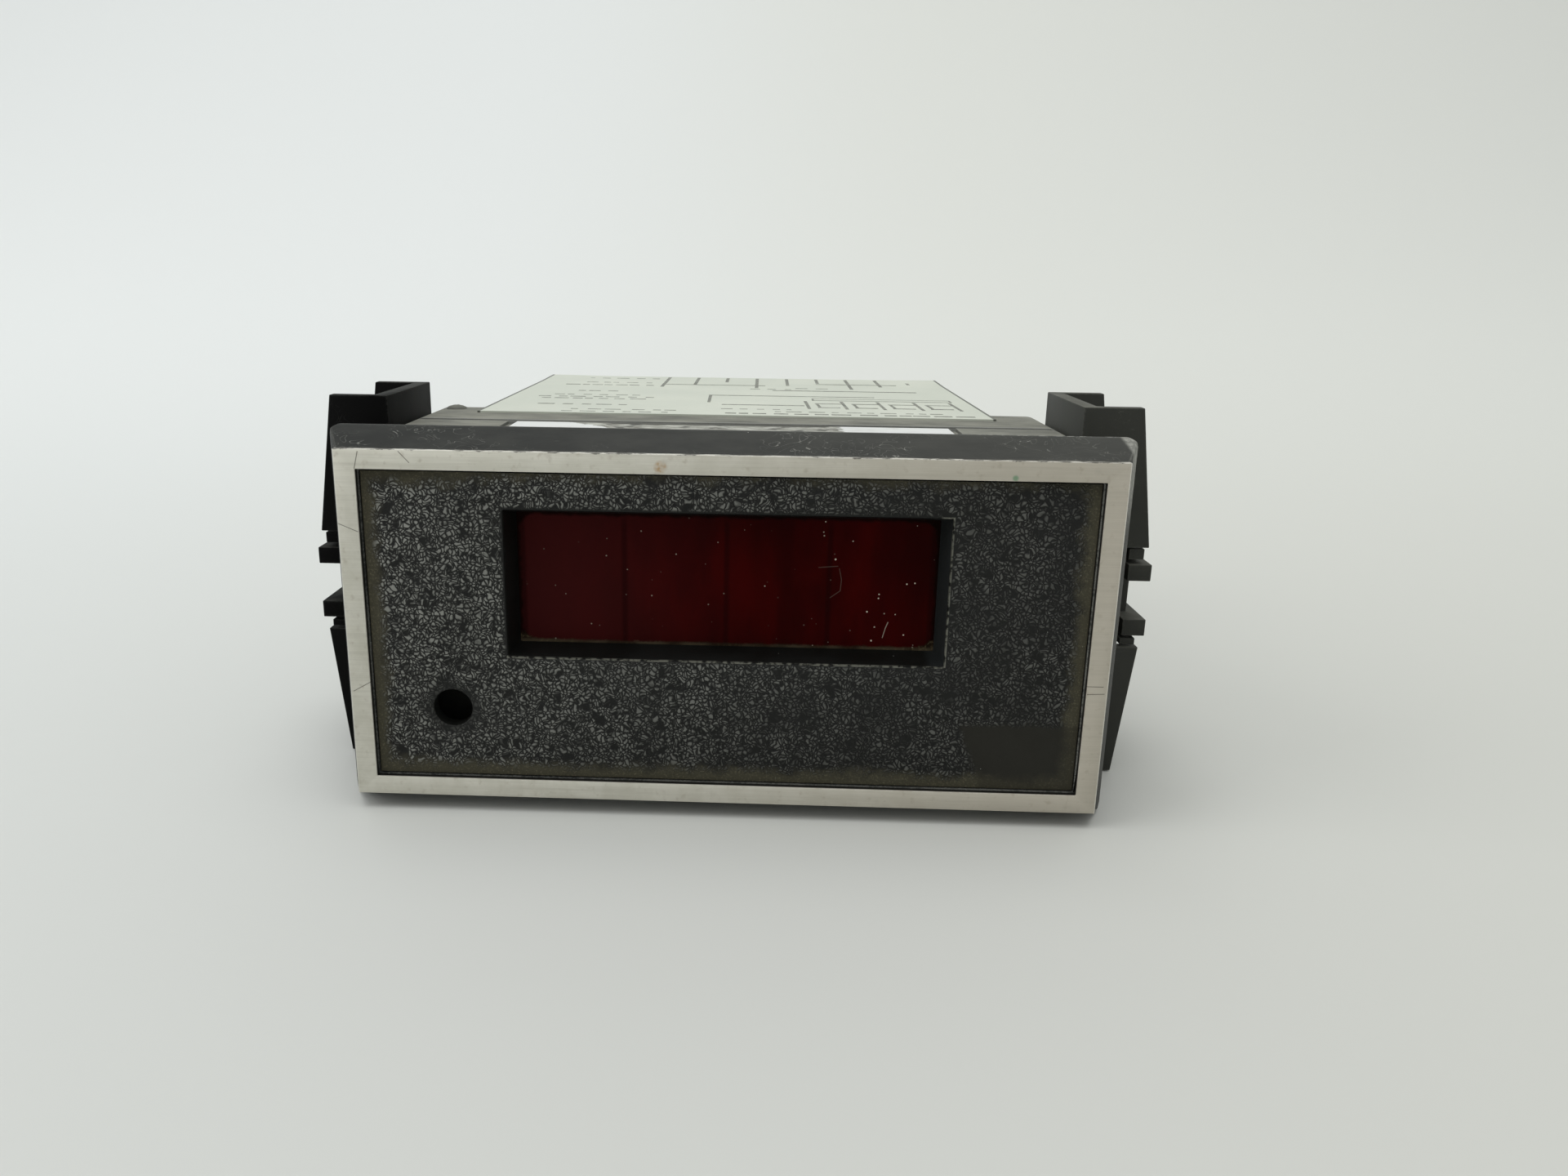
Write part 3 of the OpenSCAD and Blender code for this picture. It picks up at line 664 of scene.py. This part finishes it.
low = (win_z - gz - half_z + 1.3 + (smudge - 0.5) * 1.2).fade(-0.2, 0.5)
bottom = (gz - win_z + half_z + (grit - 0.5) * 0.8).fade(0.45, 0.1)
dusty_side = 0.15 + 0.35 * gx.fade(4, 24)
luck = red.noise(spot, 3.5, detail=1).fade(0.35, 0.6)
dust = red.specks(spot, 1.1, 0.09, 0.5) * luck
dust_big = red.specks(red.place(Vector((0.003, 0.01, 0.002))), 2.2, 0.12, 0.6) * gx.fade(-30, 14)
hairs = 0.6 * near_line(gx, gz, (19.9, 0.9), (19.6, 0.1), 0.07)
hairs = hairs.at_least(0.6 * near_line(gx, gz, (19.6, 0.1), (19.3, -1.1), 0.06))
for start, end in (
    ((11.2, 7.7), (13.5, 7.9)), ((13.7, 7.6), (14.0, 6.2)), ((14.0, 6.2), (13.9, 4.8)),
    ((13.9, 4.8), (12.7, 3.9)),
):
    hairs = hairs.at_least(0.1 * near_line(gx, gz, start, end, 0.07))
deep = red.mix(glow, tone(40, 1, 1), tone(60, 2, 1))
# Paler and greyer towards the left: a dust haze, and a painted reflection of the window.
deep = red.mix(left_haze_and_sheen * 0.85, deep, tone(60, 20, 20))
deep = red.mix(band_edge * 0.5, deep, tone(22, 1, 2))
deep = red.mix(rimmed * 0.85, deep, tone(9, 5, 3))
to_corners = 0.25 + 0.75 * abs(digit_x).fade(15, 24)
deep = red.mix(rimmed * low * to_corners * (0.1 + 0.7 * grit.fade(0.45, 0.66)), deep, tone(96, 86, 64))
deep = red.mix(bottom * (0.1 + 0.3 * luck), deep, tone(104, 95, 76))
fluff = (dust * dusty_side * 2.4 + dust_big * 0.9 + hairs * 0.8).at_most(1)
deep = red.mix(fluff, deep, tone(205, 196, 180))
red.shader.inputs["Specular IOR Level"].default_value = 0.02
red_filter = red.set(
    Base_Color=deep, Roughness=0.18 + 0.2 * left_haze_and_sheen + 0.4 * (rimmed + dust).at_most(1),
    Normal=red.bump(grit * rimmed + dust, 0.03, 0.5),
)
settle(plate, "housing", "red_filter", red_filter, "display_window")


# Digits ------------------------------------------------------------------------------------
# Four seven-segment digits in dark resin housings, with pale segments set in their faces.
resin = Finish("digit_plastic")
spot = resin.place()
_, digit_y, _ = resin.axes(spot)
face_y = (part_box("display_digit_1")[0].y - front.y) / MM
pale = digit_y.fade(face_y + 0.14, face_y + 0.1)
cloud = resin.noise(spot, 1.5, detail=3)
digit_plastic = resin.set(
    Base_Color=resin.mix(pale, resin.mix(cloud, tone(44, 40, 40), tone(60, 54, 54)), tone(196, 170, 166)),
    Roughness=0.35 + 0.2 * cloud,
    Normal=resin.bump(cloud, 0.02, 0.4),
)


def dress(material, *nodes):
    """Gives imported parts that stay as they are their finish."""
    for node in nodes:
        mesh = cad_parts[node].data
        mesh.materials.clear()
        mesh.materials.append(material)


dress(digit_plastic, *(f"display_digit_{i}" for i in range(1, 5)))


# Case --------------------------------------------------------------------------------------
# The mid grey case: a wide front part that fills the panel cut-out, and a narrower rear part.
# Its top is filmed with dust. A drop of glue has set on its shoulder at the left.
def step_painted_light(finish):
    """The low step across the case's top, painted lighter where its small wall falls into shade: painted
    light.
    """
    step_y = 24.6
    _, y, z = finish.axes(finish.place())
    return abs(y - step_y).fade(0.5, 0.3) * z.fade(21.6, 22.0) * 0.8


case = joined_copy("case_body", "case_shell")
soften(case, 0.1, 2)
case_plastic = moulded(
    "case_plastic", (92, 93, 87), gloss=0.6, dusty=0.85, dust_tone=(156, 156, 145), streak=(0.1, 0.8),
    wear_and_light_mask=step_painted_light,
)
settle(case, "housing", "case_plastic", case_plastic, "case_body")

drop_spot = front + Vector((-41.2, 35.6, 22.2)) * MM
bpy.ops.object.select_all(action="DESELECT")
bpy.ops.mesh.primitive_uv_sphere_add(segments=32, ring_count=16, radius=1.45 * MM, location=drop_spot)
glue = bpy.context.object
glue.name = "glue_drop"
bpy.ops.object.transform_apply(location=True, rotation=True, scale=True)
edit(glue, "VERT")
bpy.ops.mesh.select_all(action="SELECT")
bpy.ops.transform.resize(value=(1.1, 0.9, 0.5), center_override=drop_spot)
bpy.ops.transform.vertex_random(offset=0.08 * MM, seed=3)
finish_edit()
bpy.ops.object.shade_smooth()
settle(glue, "housing", "case_plastic", case_plastic)


# Slot strip --------------------------------------------------------------------------------
# A white card strip in the shallow slot behind the bezel. Its middle has been torn away and
# what is left there is grey glue and fibres.
strip_low, strip_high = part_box("slot_strip")
strip = box("slot_card", strip_low, strip_high)
edit(strip, "EDGE")
pick(strip, "edges", lambda edge: abs(edge.verts[0].co.x - edge.verts[1].co.x) > 10 * MM)
bpy.ops.mesh.subdivide(number_cuts=80)
pick(strip, "edges", lambda edge: abs(edge.verts[0].co.y - edge.verts[1].co.y) > 3 * MM)
bpy.ops.mesh.subdivide(number_cuts=10)
torn_left, torn_right = -17 * MM, 13 * MM
pick(strip, "verts", lambda corner: corner.co.z > strip_low.z + 0.1 * MM
     and torn_left < corner.co.x < torn_right)
bpy.ops.transform.translate(value=(0, 0, -0.14 * MM))
bpy.ops.transform.vertex_random(offset=0.05 * MM, seed=5)
finish_edit()
bpy.ops.object.shade_smooth_by_angle(angle=math.radians(40))

card = Finish("strip_card")
spot = card.place()
sx, sy, _ = card.axes(spot)
ragged = (card.noise(spot, 1.6, detail=4, roughness=0.65) - 0.5) * 6
left_card = (sx + 17.5 + ragged + (sy - 20) * 1.2).fade(0.6, 0.0)
right_card = (sx - 14.2 + ragged * 0.5).fade(0.0, 0.4)
whole = left_card + right_card
fibres = card.noise(card.place(stretch=(6, 1, 1)), 0.5, detail=5, roughness=0.7)
remains = card.mix(fibres.fade(0.35, 0.62), tone(96, 94, 84), tone(196, 197, 188))
remains = card.mix(card.noise(spot, 2.5, detail=2).fade(0.52, 0.68) * 0.8, remains, tone(62, 62, 56))
soil = card.noise(spot, 3, detail=4).fade(0.45, 0.8)
card_tone = card.mix(soil * 0.35, tone(228, 230, 228), tone(176, 176, 168))
strip_card = card.set(
    Base_Color=card.mix(whole, remains, card_tone),
    Roughness=0.65 + 0.2 * fibres,
    Normal=card.bump(fibres * (1 - whole), 0.12, 0.7),
)
settle(strip, "housing", "strip_card", strip_card, "slot_strip")


# Top card ----------------------------------------------------------------------------------
# A pale card with a wiring diagram, stuck on the case. Here its print is only plain rules,
# boxes and dashes. Its corners have lifted a little, and its long edges are darker.
card_low, card_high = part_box("wiring_label")
label = box("top_card", card_low, card_high)
edit(label)
pick(label, "faces", lambda face: abs(face.normal.z) > 0.9)
bpy.ops.mesh.subdivide(number_cuts=24)
near = 0.5 * MM
pick(label, "verts", lambda corner: abs(corner.co.x) > card_high.x - near
     and corner.co.y > card_high.y - near)
bpy.ops.transform.translate(
    value=(0, 0, 0.12 * MM), use_proportional_edit=True, proportional_edit_falloff="SMOOTH",
    proportional_size=12 * MM)
finish_edit()
bpy.ops.object.shade_smooth_by_angle(angle=math.radians(30))

label_paint = Finish("label_card")
spot = label_paint.place()
lx, _, _ = label_paint.axes(spot)
card_half = (card_high.x - card_low.x) / 2 / MM
yellowed = label_paint.noise(spot, 14, detail=3)
speckle = label_paint.specks(spot, 3.5, 0.16, 0.25)
stock = label_paint.mix(yellowed.fade(0.3, 0.7), tone(203, 208, 195), tone(212, 216, 203))
smut = label_paint.noise(spot, 0.8, detail=4).fade(0.55, 0.8)
stock = label_paint.mix(smut * 0.2, stock, tone(176, 178, 164))
stock = label_paint.mix((card_half - abs(lx)).fade(0.5, 0.3) * 0.9, stock, tone(58, 60, 52))
stock = label_paint.mix(speckle * 0.5, stock, tone(128, 124, 108))
label_card = label_paint.set(
    Base_Color=stock, Roughness=0.42 + 0.2 * yellowed,
    Normal=label_paint.bump(label_paint.noise(spot, 6, detail=2), 0.05, 0.4),
)
settle(label, "housing", "label_card", label_card, "wiring_label")

ink = Finish("label_ink")
worn_ink = ink.noise(ink.place(), 0.9, detail=4)
label_ink = ink.set(
    Base_Color=ink.mix(worn_ink.fade(0.35, 0.75), tone(104, 106, 98), tone(156, 159, 148)),
    Roughness=0.5 + 0.2 * worn_ink,
    Normal=ink.bump(worn_ink, 0.005, 0.3),
)
ink_top = card_high.z + 0.015 * MM
marks = []


def rule(x0, y0, x1, y1, width=0.32):
    """One printed line on the card, between two points in millimetres from the rim's face."""
    start, end = Vector((x0, y0, 0)) * MM, Vector((x1, y1, 0)) * MM
    span = end - start
    lift = len(marks) % 7 * 0.002 * MM  # keeps crossing lines from lying in one plane
    bpy.ops.mesh.primitive_cube_add(
        size=1, location=(start + end) / 2 + Vector((0, front.y, ink_top - 0.01 * MM + lift)),
        scale=(span.length + width * MM, width * MM, 0.02 * MM),
        rotation=(0, 0, math.atan2(span.y, span.x)))
    marks.append(bpy.context.object)


def frame_of_rules(x0, y0, x1, y1):
    corners = ((x0, y0), (x1, y0), (x1, y1), (x0, y1))
    for i, corner in enumerate(corners):
        rule(*corner, *corners[(i + 1) % 4])


dice = random.Random(11)
bpy.ops.object.select_all(action="DESELECT")
for row_y, x0, x1, width in (
    (33.0, -25, -10, 0.5), (35.6, -24, -8, 0.5), (33.4, -1, 34, 0.9), (36.0, 6, 30, 0.5),
    (38.6, -2, 8, 0.5), (41.5, -30, -17, 0.7), (49.5, -31, -15, 0.7), (52.0, -32, -14, 0.7),
    (55, -30, -16, 0.6), (61, -27, -21, 0.7), (71.5, -31, -16, 0.8), (76.0, -28, -16, 0.6),
    (68.0, 2, 9, 0.6), (70.0, 10, 16, 0.6), (84.0, -30, -16, 0.6),
):
    x = x0
    while x < x1:
        dash = dice.uniform(0.4, 1.9)
        rule(x, row_y, min(x + dash, x1), row_y, width)
        x += dash + dice.uniform(1.0, 2.2)
for i in range(5):
    pulse_x = 11 + 5.7 * i
    rule(pulse_x, 40.5, pulse_x - 0.3, 50, 0.5)
    if i < 4:
        rule(pulse_x + 1.7, 42, pulse_x + 4.4, 42, 0.7)
        rule(pulse_x + 1.7, 42, pulse_x + 1.4, 47, 0.45)
        rule(pulse_x + 1.4, 47, pulse_x + 5.2, 47, 0.6)
rule(-2, 44, 10, 44, 0.7)
rule(-4.5, 47, -4.7, 57, 0.5)
rule(-4.7, 57, 22, 57, 0.6)
rule(6, 66, 30, 66, 0.8)
frame_of_rules(12, 51.5, 34, 54)
for i in range(9):
    tick_x = -14 + 5.6 * i
    rule(tick_x, 70 + 5 * (i % 3), tick_x, 87, 0.6)
rule(-14, 74, 4, 74, 0.7)
rule(14, 78, 28, 78, 0.7)
for mark in marks:
    mark.select_set(True)
bpy.context.view_layer.objects.active = marks[0]
bpy.ops.object.join()
print_marks = bpy.context.object
print_marks.name = "card_print"
bpy.ops.object.transform_apply(location=True, rotation=True, scale=True)
settle(print_marks, "housing", "label_card", label_ink)


# Clips and latches -------------------------------------------------------------------------
# The two nylon side clips and their ribbed latch tongues. The left pair is black and the right
# pair is painted paler grey, partly painted light from the brighter right side and partly dust.
# Their edges are rubbed pale and dust films what faces up.
clip_black = moulded(
    "clip_black", (5, 5, 5), gloss=0.55, dusty=0.4, worn=0.4, dust_tone=(96, 97, 91),
    wear_tone=(80, 81, 78), shine=0.06,
)
# Painted light and dust: the right pair is painted paler than the left.
clip_grey = moulded(
    "clip_grey", (46, 47, 42), gloss=0.55, dusty=0.5, worn=0.4, dust_tone=(136, 136, 126),
    wear_tone=(112, 112, 104),
)
for side, material, slot in (("left", clip_black, "clip_black"), ("right", clip_grey, "clip_grey")):
    for part in ("clip", "latch"):
        node = f"{side}_{part}"
        piece = joined_copy(node, f"{node}_moulding")
        soften(piece, 0.12, 2)
        settle(piece, node, slot, material, node)


# Rear cover and terminals ------------------------------------------------------------------
# The dark rear cover, its pan-head screws, and the black terminal block with plated clamping
# plates and screws. The wires are gone.
cover_plastic = moulded("cover_plastic", (54, 55, 53), gloss=0.5, dusty=0.3, worn=0.5)
block_plastic = moulded("block_plastic", (26, 26, 26), gloss=0.38, dusty=0.3, worn=0.35)
for node, name, width, slot, material in (
    ("rear_cover", "cover_plate", 0.25, "cover_plastic", cover_plastic),
    ("terminal_block", "block_moulding", 0.1, "block_plastic", block_plastic),
):
    piece = joined_copy(node, name)
    soften(piece, width, 2)
    settle(piece, "housing", slot, material, node)


def plated(name, bright, dull, rough):
    """Plated or drawn metal with a fine drawn grain and a tarnished bloom."""
    finish = Finish(name)
    spot = finish.place()
    bloom = finish.noise(spot, 2.2, detail=4, roughness=0.6)
    grainy = finish.noise(finish.place(stretch=(1, 8, 1)), 0.12, detail=2)
    worn = finish.edges(0.15)
    colour = finish.mix(bloom.fade(0.35, 0.75), tone(*bright), tone(*dull))
    colour = finish.mix(worn * 0.4, colour, tone(235, 233, 226))
    return finish.set(
        Base_Color=colour, Metallic=0.9, Roughness=rough + 0.2 * bloom + 0.08 * grainy,
        Normal=finish.bump(grainy, 0.006, 0.5),
    )


def pan_screws(name, node, slot, head_r, head_t, shank_r, places, material):
    """Slotted pan-head screws, modelled once and copied to each place, turned as listed."""
    low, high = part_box(node)
    slot_w, slot_t = 0.7 * MM, head_t * 0.5
    bpy.ops.object.select_all(action="DESELECT")
    bpy.ops.mesh.primitive_cylinder_add(
        vertices=40, radius=head_r, depth=head_t, location=(0, high.y - head_t / 2, 0),
        rotation=(math.pi / 2, 0, 0),
    )
    head = bpy.context.object
    bpy.ops.object.transform_apply(location=True, rotation=True, scale=True)
    edit(head)
    pick(head, "faces", lambda face: face.normal.y > 0.9)
    for step, shrink in ((0.35, 0.93), (0.22, 0.86), (0.1, 0.7)):
        bpy.ops.transform.translate(value=(0, -0.12 * head_t * (1 - step), 0))
        bpy.ops.mesh.extrude_region_move(TRANSFORM_OT_translate={"value": (0, step * head_t * 0.5, 0)})
        bpy.ops.transform.resize(value=(shrink, 1, shrink), center_override=(0, high.y, 0))
    pick(head, "faces", lambda face: face.normal.y < -0.9)
    bpy.ops.mesh.inset(thickness=head_r - shank_r)
    bpy.ops.mesh.extrude_region_move(TRANSFORM_OT_translate={"value": (0, low.y - (high.y - head_t), 0)})
    finish_edit()
    top = max(corner.co.y for corner in head.data.vertices)
    edit(head, "VERT")
    pick(head, "verts", lambda corner: corner.co.y > high.y - head_t * 0.9)
    bpy.ops.transform.translate(value=(0, high.y - top, 0))
    finish_edit()
    slot_low = Vector((-head_r * 1.2, high.y - slot_t, -slot_w / 2))
    cut_out(head, box("screw_slot", slot_low, (-slot_low.x, high.y + 1 * MM, slot_w / 2)))
    soften(head, 0.05, 1, angle=40)
    copies = []
    for x, z, turn in places:
        copy = head.copy()
        copy.data = head.data.copy()
        bpy.context.scene.collection.objects.link(copy)
        copy.rotation_euler = (0, turn, 0)
        copy.location = (x, 0, z)
        copies.append(copy)
    bpy.data.objects.remove(head)
    bpy.ops.object.select_all(action="DESELECT")
    for copy in copies:
        copy.select_set(True)
    bpy.context.view_layer.objects.active = copies[0]
    bpy.ops.object.join()
    group = bpy.context.object
    group.name = name
    bpy.ops.object.transform_apply(location=True, rotation=True, scale=True)
    settle(group, "housing", slot, material, node)


turns = random.Random(4)
screw_steel = plated("screw_steel", (186, 187, 184), (150, 150, 142), rough=0.32)
terminal_steel = plated("terminal_steel", (196, 194, 184), (158, 152, 134), rough=0.28)
plate_brass = plated("plate_brass", (204, 202, 190), (170, 162, 138), rough=0.35)
corner_low, corner_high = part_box("cover_screws")
cover_r = 2.6 * MM
cover_corners = [
    (x, z, turns.uniform(-1.5, 1.5))
    for x in (corner_low.x + cover_r, corner_high.x - cover_r)
    for z in (corner_low.z + cover_r, corner_high.z - cover_r)
]
pan_screws(
    "cover_screw_heads", "cover_screws", "screw_steel", cover_r, 1.5 * MM, 1.3 * MM, cover_corners,
    screw_steel,
)
row_low, row_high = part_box("terminal_screws")
clamp_r = 2.4 * MM
clamp_pitch = (row_high.x - row_low.x - 2 * clamp_r) / 9
clamp_places = [
    (row_low.x + clamp_r + i * clamp_pitch, (row_low.z + row_high.z) / 2, turns.uniform(-1.5, 1.5))
    for i in range(10)
]
pan_screws(
    "terminal_screw_heads", "terminal_screws", "terminal_steel", clamp_r, 1.5 * MM, 1.45 * MM,
    clamp_places, terminal_steel,
)
plates = joined_copy("terminal_plates", "clamp_plates")
soften(plates, 0.1, 2)
settle(plates, "housing", "plate_brass", plate_brass, "terminal_plates")


# Setting switches --------------------------------------------------------------------------
# A red housing with eight white sliding levers, reached through the rear cover.
switch_plastic = moulded(
    "switch_plastic", (150, 36, 30), gloss=0.3, dusty=0.2, worn=0.2, wear_tone=(190, 110, 100),
)
housing = joined_copy("dip_switch_body", "switch_housing")
soften(housing, 0.12, 2)
settle(housing, "housing", "switch_plastic", switch_plastic, "dip_switch_body")
lever_plastic = moulded(
    "lever_plastic", (226, 224, 214), gloss=0.35, dusty=0.15, worn=0.0, dust_tone=(170, 168, 156),
)
for i in range(1, 9):
    node = f"dip_lever_{i}"
    lever = joined_copy(node, f"switch_lever_{i}")
    edit(lever)
    pick(lever, "faces", lambda face: face.normal.y > 0.9)
    bpy.ops.mesh.inset(thickness=0.2 * MM)
    bpy.ops.transform.translate(value=(0, -0.12 * MM, 0))
    finish_edit()
    soften(lever, 0.08, 2)
    settle(lever, node, "lever_plastic", lever_plastic, node)


# Adjuster ----------------------------------------------------------------------------------
# The black trimmer behind the front hole, and its slotted brass screw.
trimmer_plastic = moulded("trimmer_plastic", (20, 22, 28), gloss=0.4, dusty=0.1, worn=0.1)
dress(trimmer_plastic, "trimmer_body")
dress(plated("brass_screw", (188, 150, 82), (140, 108, 58), rough=0.3), "trimmer_screw")


# Boards and what stands on them ------------------------------------------------------------
# Green laminate boards, black resin chips, the transformer, capacitors, regulator and heat
# sink. They are closed in by the case.
laminate = Finish("circuit_board")
weave = laminate.noise(laminate.place(), 0.4, detail=1)
tracks = laminate.noise(laminate.place(stretch=(9, 2, 9)), 0.7, detail=0.5, distortion=0.4).fade(0.52, 0.55)
circuit_board = laminate.set(
    Base_Color=laminate.mix(tracks, tone(30, 74, 46), tone(58, 112, 66)),
    Roughness=0.35 + 0.1 * weave,
    Normal=laminate.bump(tracks + 0.2 * weave, 0.03, 0.6),
)
dress(circuit_board, "display_board", "main_board", "terminal_board")
dress(moulded("black_plastic", (30, 30, 30), gloss=0.45, dusty=0.2, worn=0.2), "board_header")
dress(moulded("chip_resin", (38, 38, 38), gloss=0.5, dusty=0.25, worn=0.3),
      "counter_chip", "driver_chips", "regulator")
dress(plated("can_metal", (190, 192, 190), (160, 160, 154), rough=0.22), "crystal")
dress(plated("core_steel", (120, 116, 108), (82, 72, 60), rough=0.5), "transformer_core")
dress(moulded("coil_tape", (190, 150, 52), gloss=0.3, dusty=0.3, worn=0.1), "transformer_coil")
dress(moulded("capacitor_sleeve", (40, 54, 84), gloss=0.3, dusty=0.3, worn=0.2),
      "main_capacitor", "small_capacitors")
dress(moulded("sink_metal", (34, 34, 35), gloss=0.4, dusty=0.3, worn=0.6), "heat_sink")
